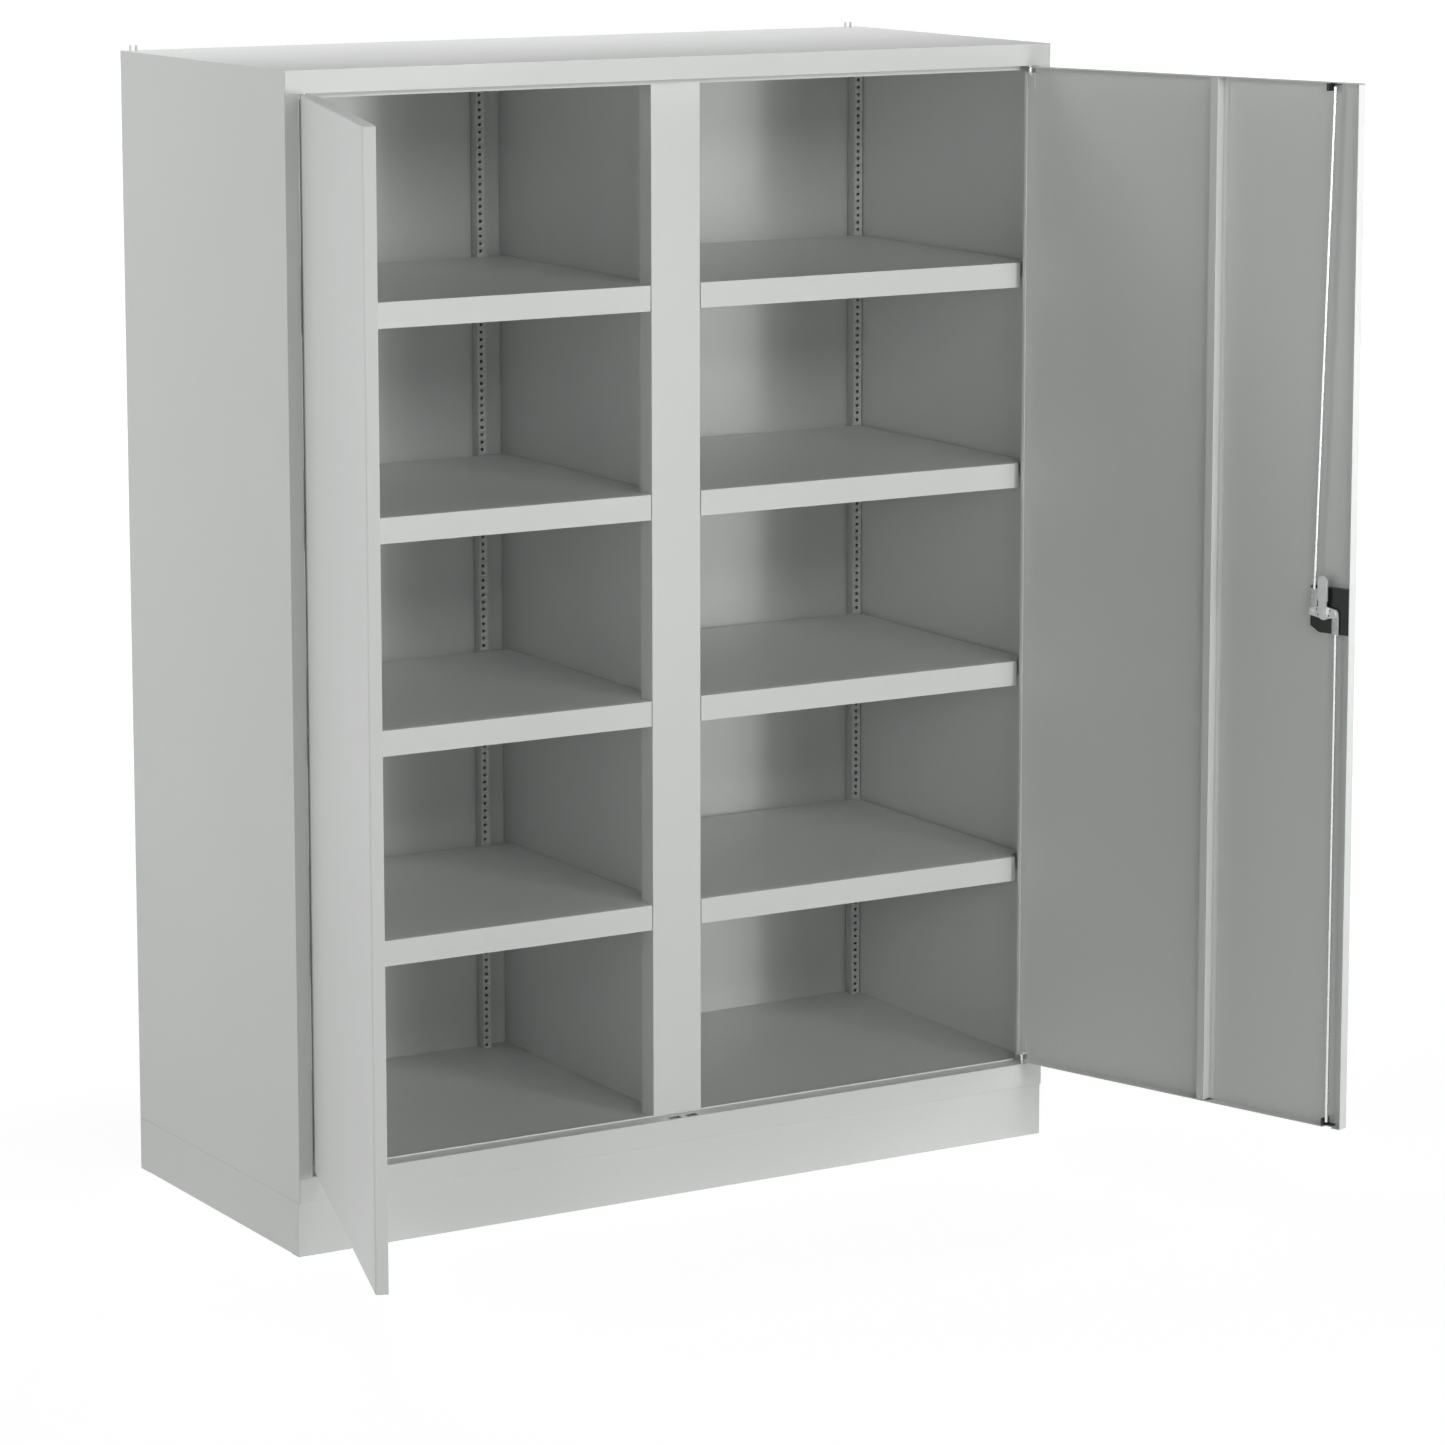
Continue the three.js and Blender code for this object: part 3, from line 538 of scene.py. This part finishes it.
# Cam plate with its hub, ears, pins and small holes
def camPiece():
    plan = lockPlan
    mesh = bmesh.new()
    ear, hub, crank = plan["earRadius"], plan["hubRadius"], plan["crank"]
    start, end = plan["hubArc"]
    outline = arc((crank, 0), ear, -90, 90, plan["earSteps"])
    outline += arc((0, 0), hub, start, end, plan["hubSteps"])
    outline += arc((-crank, 0), ear, 90, 270, plan["earSteps"])
    outline += arc((0, 0), hub, start + 180, end + 180, plan["hubSteps"])
    holes = [ring(spot, plan["holeRadius"], plan["holeRadius"]) for spot in plan["holes"]]
    extrudeOutline(mesh, outline, camFront, camBack, plan["camRim"], holes)
    for place in (-crank, crank):
        roundBar(mesh, plan["pinRadius"], "y", linkFront, camBack + plan["pinHead"], (place, 0),
                 plan["pinRim"])
    makePiece("cam_plate", turned(mesh, lockSpot), pressedZinc)


def tonguePiece():
    plan = lockPlan
    mesh = bmesh.new()
    half, neck = plan["tongueWidth"] / 2, plan["neckWidth"] / 2
    corner, reach, shoulder = plan["tongueCorner"], plan["tongueReach"], plan["neckLength"]
    neckEnd = shoulder - half + neck
    outline = arc((0, 0), neck, 180, 360, plan["neckSteps"])
    outline += [(neck, neckEnd), (half, shoulder), (half, reach - corner), (half - corner, reach),
                (corner - half, reach), (-half, reach - corner), (-half, shoulder), (-neck, neckEnd)]
    extrudeOutline(mesh, outline, tongueFront, tongueBack, plan["tongueRim"])
    makePiece("latch_tongue", turned(mesh, lockSpot), pressedZinc)


def spindlePiece():
    plan = lockPlan
    mesh = bmesh.new()
    half = plan["spindle"] / 2
    block(mesh, (-half, -fit - plan["spindleOut"], -half),
          (half, tongueBack + plan["spindleEnd"], half), plan["spindleRim"])
    makePiece("spindle", turned(mesh, lockSpot), pressedZinc)


upperRise, upperLean = rodPlan["upperRise"], rodPlan["upperLean"]
upperTilt = Matrix.Rotation(-math.atan2(upperLean, upperRise), 4, "Y")
upperSpot = Matrix.Translation((lockPlan["crank"], 0, 0)) @ upperTilt
lowerSpot = Matrix.Translation((-lockPlan["crank"], 0, 0))
rodPiece("upper_rod", rodPlan["upperLink"], math.hypot(upperRise, upperLean), upperSpot)
rodPiece("lower_rod", rodPlan["lowerLink"], -rodPlan["lowerDrop"], lowerSpot)
camPiece()
tonguePiece()
spindlePiece()
print("lock pieces ready")

# Lock case, with its lower corner away from the leaf's free edge cut off
casePlan = {
    "near": 0.00305, "width": 0.0845, "low": 1.0072, "high": 1.0865, "chamfer": (0.018, 0.0105),
    "rim": 0.0012,
}


def lockCasePiece():
    plan = casePlan
    mesh = bmesh.new()
    near, far = plan["near"], plan["near"] + plan["width"]
    across, up = plan["chamfer"]
    outline = [(near, plan["low"]), (far - across, plan["low"]), (far, plan["low"] + up),
               (far, plan["high"]), (near, plan["high"])]
    seat = front + skinInner
    extrudeOutline(mesh, outline, seat, seat + lockPlan["caseDepth"], plan["rim"])
    makePiece("lock_case", turned(mesh, leaves["right"]), plastic)


# Rod guides: a wall beside the slot that the rod sways in, with a low bridge behind the rod
guidePlan = {
    "places": {"top": 0.055, "bottom": 0.0285}, "depth": 0.0185, "halfWidth": 0.0135,
    "halfSlot": 0.0088, "wallRim": 0.0008, "bridgeDepth": 0.0075, "bridgeHeight": 0.0025,
    "bridgeReach": 0.0045, "bridgeRim": 0.0005, "overlap": 0.001,
}


def guidePiece(end):
    plan = guidePlan
    node = f"guide_{end}"
    mesh = bmesh.new()
    low, high = (corner.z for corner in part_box(node))
    tall = plan["bridgeHeight"]
    bridgeLow, bridgeHigh = (high - tall, high) if end == "top" else (low, low + tall)
    middle = plan["places"][end]
    near = front + skinInner
    wallStart, wallEnd = middle + plan["halfSlot"], middle + plan["halfWidth"]
    block(mesh, (wallStart, near, low), (wallEnd, near + plan["depth"], high), plan["wallRim"])
    block(mesh, (middle - plan["bridgeReach"], near, bridgeLow),
          (wallStart + plan["overlap"], near + plan["bridgeDepth"], bridgeHigh),
          plan["bridgeRim"])
    makePiece(node, turned(mesh, leaves["right"]), plastic)


# Handle on the outside face, with its rosette behind it and the lock cylinder in it
handlePlan = {
    "rosetteRadius": 0.024, "rosetteThickness": 0.004, "rosetteEdge": (0.0014, 0.0012),
    "facets": 56, "length": 0.104, "width": 0.03, "thickness": 0.021, "rim": 0.0042,
    "rimSegments": 5, "neckRadius": 0.01, "neckSeat": 0.002, "neckRim": 0.0004,
    "collarWidth": 0.0022, "collarProud": 0.0004, "collarDepth": 0.004, "collarRim": 0.0005,
    "barFacets": 48,
}
handleBack = -2 * fit - handlePlan["rosetteThickness"]
handleFace = handleBack - handlePlan["thickness"]
cylinderPlan = {
    "radius": 0.009, "proud": 0.001, "depth": 0.006, "rim": 0.0006,
    "keyWidth": 0.002, "keyLength": 0.009, "keyProud": 0.0001, "keyDepth": 0.002,
}


def rosettePiece():
    plan = handlePlan
    mesh = bmesh.new()
    low, high = -fit - plan["rosetteThickness"], -fit
    inner, outer = plan["neckRadius"] + fit, plan["rosetteRadius"]
    across, deep = plan["rosetteEdge"]
    profile = [(inner, high), (outer, high), (outer, low + deep), (outer - across, low),
               (inner, low)]
    verts = [mesh.verts.new((x, y, 0)) for x, y in profile]
    edges = [mesh.edges.new((verts[i], verts[(i + 1) % len(verts)])) for i in range(len(verts))]
    bmesh.ops.spin(mesh, geom=verts + edges, cent=(0, 0, 0), axis=(0, 1, 0), angle=2 * math.pi,
                   steps=plan["facets"], use_merge=True)
    bmesh.ops.remove_doubles(mesh, verts=mesh.verts, dist=samePoint)
    bmesh.ops.recalc_face_normals(mesh, faces=mesh.faces)
    makePiece("rosette", turned(mesh, lockSpot), plastic)


def handlePiece():
    plan = handlePlan
    mesh = bmesh.new()
    outline = ring((0, 0), plan["width"] / 2, plan["length"] / 2, plan["facets"])
    extrudeOutline(mesh, outline, handleBack, handleFace, 0)
    bevel(mesh, sharpEdges(mesh), plan["rim"], plan["rimSegments"])
    roundBar(mesh, plan["neckRadius"], "y", handleBack - plan["neckSeat"], -fit, (0, 0),
             plan["neckRim"], plan["barFacets"])
    roundBar(mesh, cylinderPlan["radius"] + plan["collarWidth"], "y",
             handleFace - plan["collarProud"], handleFace + plan["collarDepth"], (0, 0),
             plan["collarRim"], plan["barFacets"])
    makePiece("handle", turned(mesh, lockSpot), plastic)


def cylinderPiece():
    plan = cylinderPlan
    face = handleFace - plan["proud"]
    mesh = bmesh.new()
    spot = Matrix.Translation((0, face, 0)) @ Matrix.Rotation(math.pi / 2, 4, "X")
    circle = bmesh.ops.create_circle(
        mesh, cap_ends=True, segments=handlePlan["barFacets"], radius=plan["radius"], matrix=spot)
    cap = circle["verts"][0].link_faces[0]
    pulled = bmesh.ops.extrude_face_region(mesh, geom=[cap], use_keep_orig=True)["geom"]
    bmesh.ops.translate(mesh, verts=newVerts(pulled), vec=(0, plan["depth"], 0))
    bmesh.ops.remove_doubles(mesh, verts=mesh.verts, dist=samePoint)
    bmesh.ops.recalc_face_normals(mesh, faces=mesh.faces)
    bevel(mesh, sharpEdges(mesh), plan["rim"])
    halfWide, halfTall = plan["keyWidth"] / 2, plan["keyLength"] / 2
    block(mesh, (-halfWide, face - plan["keyProud"], -halfTall),
          (halfWide, face + plan["keyDepth"], halfTall), 0)
    makePiece("lock_cylinder", turned(mesh, lockSpot), pressedZinc)


# Slide bolts of the left leaf: the node's shape, its knob cut back behind the leaf's edge
boltPlan = {"foldRadius": 0.0006, "segments": 2, "widestRim": 0.002, "knobDepth": 0.0203}


def boltPiece(end):
    node = f"bolt_{end}"
    mesh = nodeCopy(node)
    bevel(mesh, foldEdges(mesh, boltPlan["widestRim"]), boltPlan["foldRadius"],
          boltPlan["segments"])
    turned(mesh, leaves["left"].inverted())
    for vert in mesh.verts:
        vert.co.y = min(vert.co.y, front + boltPlan["knobDepth"])
    makePiece(node, turned(mesh, leaves["left"]), pressedZinc)


lockCasePiece()
rosettePiece()
handlePiece()
cylinderPiece()
for end in ("top", "bottom"):
    guidePiece(end)
    boltPiece(end)
print("handle and guides ready")

# Hinge pins: a head on the outer end, and a collar inside the leaf's bracket
pinPlan = {
    "radius": 0.003, "rim": 0.0006, "outerCut": 0.0002, "innerCut": 0.006,
    "headRadius": 0.005, "headHeight": 0.002, "headRim": 0.0004,
    "collarRadius": 0.0045, "collarHeight": 0.0015, "collarPlace": 0.01, "collarRim": 0.0003,
    "facets": 32,
}


def hingePin(side, end):
    plan = pinPlan
    node = f"hinge_pin_{side}_{end}"
    low, high = (corner.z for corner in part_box(node))
    pivot = joints["right_leaf_hinge"]["pos_m"]
    centre = (sides[side] * pivot[0], pivot[1])
    tall = plan["collarHeight"]
    if end == "bottom":
        shaft = (low + plan["outerCut"], high - plan["innerCut"])
        head = (low, low + plan["headHeight"])
        collar = high - plan["collarPlace"] - fit - tall
    else:
        shaft = (low + plan["innerCut"], high - plan["outerCut"])
        head = (high - plan["headHeight"], high)
        collar = low + plan["collarPlace"] + fit
    mesh = bmesh.new()
    roundBar(mesh, plan["radius"], "z", *shaft, centre, plan["rim"], plan["facets"])
    roundBar(mesh, plan["headRadius"], "z", *head, centre, plan["headRim"], plan["facets"])
    roundBar(mesh, plan["collarRadius"], "z", collar, collar + tall, centre, plan["collarRim"],
             plan["facets"])
    makePiece(node, mesh, zinc)


for side in sides:
    for end in ("bottom", "top"):
        hingePin(side, end)
print("hinge pins ready")

# Floor and background: white to the camera, with the object's shadow kept
stagePlan = {
    "floorSize": 60.0, "floorColour": (0.86, 0.86, 0.86, 1), "white": (1, 1, 1, 1),
    "glow": 1.14, "shadowShare": 0.18, "shadowReach": 2.0, "fade": 1.5,
}


# The lit part of the floor fades out with the distance from the object
def floorMaterial():
    plan = stagePlan
    made = Finish(bpy.data.materials.new("paleFloor"))
    coords = made.node("ShaderNodeTexCoord", out="Object")
    away = made.node("ShaderNodeVectorMath", {"operation": "LENGTH"}, {0: coords}, out=1)
    near = made.node("ShaderNodeMapRange", sockets={
        "Value": away, "From Min": plan["shadowReach"],
        "From Max": plan["shadowReach"] + plan["fade"],
        "To Min": plan["shadowShare"], "To Max": 0.0,
    })
    lit = made.node("ShaderNodeBsdfDiffuse", sockets={"Color": plan["floorColour"]})
    glow = made.node("ShaderNodeEmission", sockets={
        "Color": plan["white"], "Strength": plan["glow"],
    })
    mixed = made.node("ShaderNodeMixShader", sockets={
        0: made.directRays() * (1 - near), 1: lit, 2: glow,
    })
    made.node("ShaderNodeOutputMaterial", sockets={"Surface": mixed})
    return made.owner


floorMesh = bmesh.new()
bmesh.ops.create_grid(floorMesh, x_segments=1, y_segments=1, size=stagePlan["floorSize"] / 2)
floorData = bpy.data.meshes.new("paleFloor")
floorMesh.to_mesh(floorData)
floorMesh.free()
floorData.materials.append(floorMaterial())
floor = bpy.data.objects.new("paleFloor", floorData)
bpy.context.scene.collection.objects.link(floor)

world = bpy.data.worlds.new("studio")
bpy.context.scene.world = world
studio = Finish(world)
background = studio.node("ShaderNodeBackground", sockets={
    "Color": stagePlan["white"], "Strength": studio.directRays(),
})
studio.node("ShaderNodeOutputWorld", sockets={"Surface": background})

# Lamps point level towards the axis over the floor's middle; bearing in degrees from the front
lampPlan = {
    "key": {"bearing": 19.74, "away": 8.29, "height": 1.3, "size": (0.8, 2.6), "power": 150.0},
    "keyEdge": {"bearing": 14.38, "away": 8.05, "height": 1.3, "size": (0.8, 2.6), "power": 32.0},
    "frontHigh": {"bearing": 0.0, "away": 6.0, "height": 3.8, "size": (4.0, 1.5), "power": 85.0},
    "frontLeft": {"bearing": -15.0, "away": 8.0, "height": 1.3, "size": (1.5, 3.0), "power": 22.0},
    "leftSmall": {"bearing": -46.8, "away": 6.87, "height": 2.1, "size": (0.8, 0.8), "power": 30.0},
    "leftStrip": {"bearing": -78.53, "away": 7.065, "height": 2.0, "size": (0.8, 3.2), "power": 48.0},
    "leftHigh": {"bearing": -100.0, "away": 6.0, "height": 4.2, "size": (1.5, 1.5), "power": 55.0},
    "left": {"bearing": -112.0, "away": 7.0, "height": 1.3, "size": (1.5, 3.0), "power": 57.0},
    "right": {"bearing": 75.0, "away": 6.0, "height": 1.3, "size": (1.2, 3.0), "power": 124.0},
    "top": {"bearing": 0.0, "away": 0.5, "height": 6.0, "size": (4.0, 4.0), "power": 470.0},
}
for name, plan in lampPlan.items():
    lamp = bpy.data.lights.new(name, "AREA")
    lamp.shape = "RECTANGLE"
    lamp.size, lamp.size_y = plan["size"]
    lamp.energy = plan["power"]
    holder = bpy.data.objects.new(name, lamp)
    bearing = math.radians(plan["bearing"])
    outward = Vector((math.sin(bearing), -math.cos(bearing), 0))
    holder.location = outward * plan["away"] + Vector((0, 0, plan["height"]))
    holder.rotation_euler = (-outward).to_track_quat("-Z", "Y").to_euler()
    bpy.context.scene.collection.objects.link(holder)

# Camera, matched to the photograph by its corners; the image is taken as 1445 x 1445
cameraPlan = {
    "place": (-4.36469, -7.75121, 2.50094), "yaw": 0.54205, "pitch": 0.15641, "focalPixels": 5084.2,
    "imagePixels": 1445, "shift": (-0.01232, -0.12), "sensor": 36.0, "clipEnd": 200.0,
}
cameraData = bpy.data.cameras.new("photographView")
cameraData.sensor_width = cameraPlan["sensor"]
cameraData.lens = cameraPlan["sensor"] * cameraPlan["focalPixels"] / cameraPlan["imagePixels"]
cameraData.shift_x, cameraData.shift_y = cameraPlan["shift"]
cameraData.clip_end = cameraPlan["clipEnd"]
camera = bpy.data.objects.new("photographView", cameraData)
camera.location = cameraPlan["place"]
camera.rotation_euler = (math.pi / 2 - cameraPlan["pitch"], 0, -cameraPlan["yaw"])
bpy.context.scene.collection.objects.link(camera)
bpy.context.scene.camera = camera
bpy.context.scene.view_settings.view_transform = "Standard"

print("scene ready")
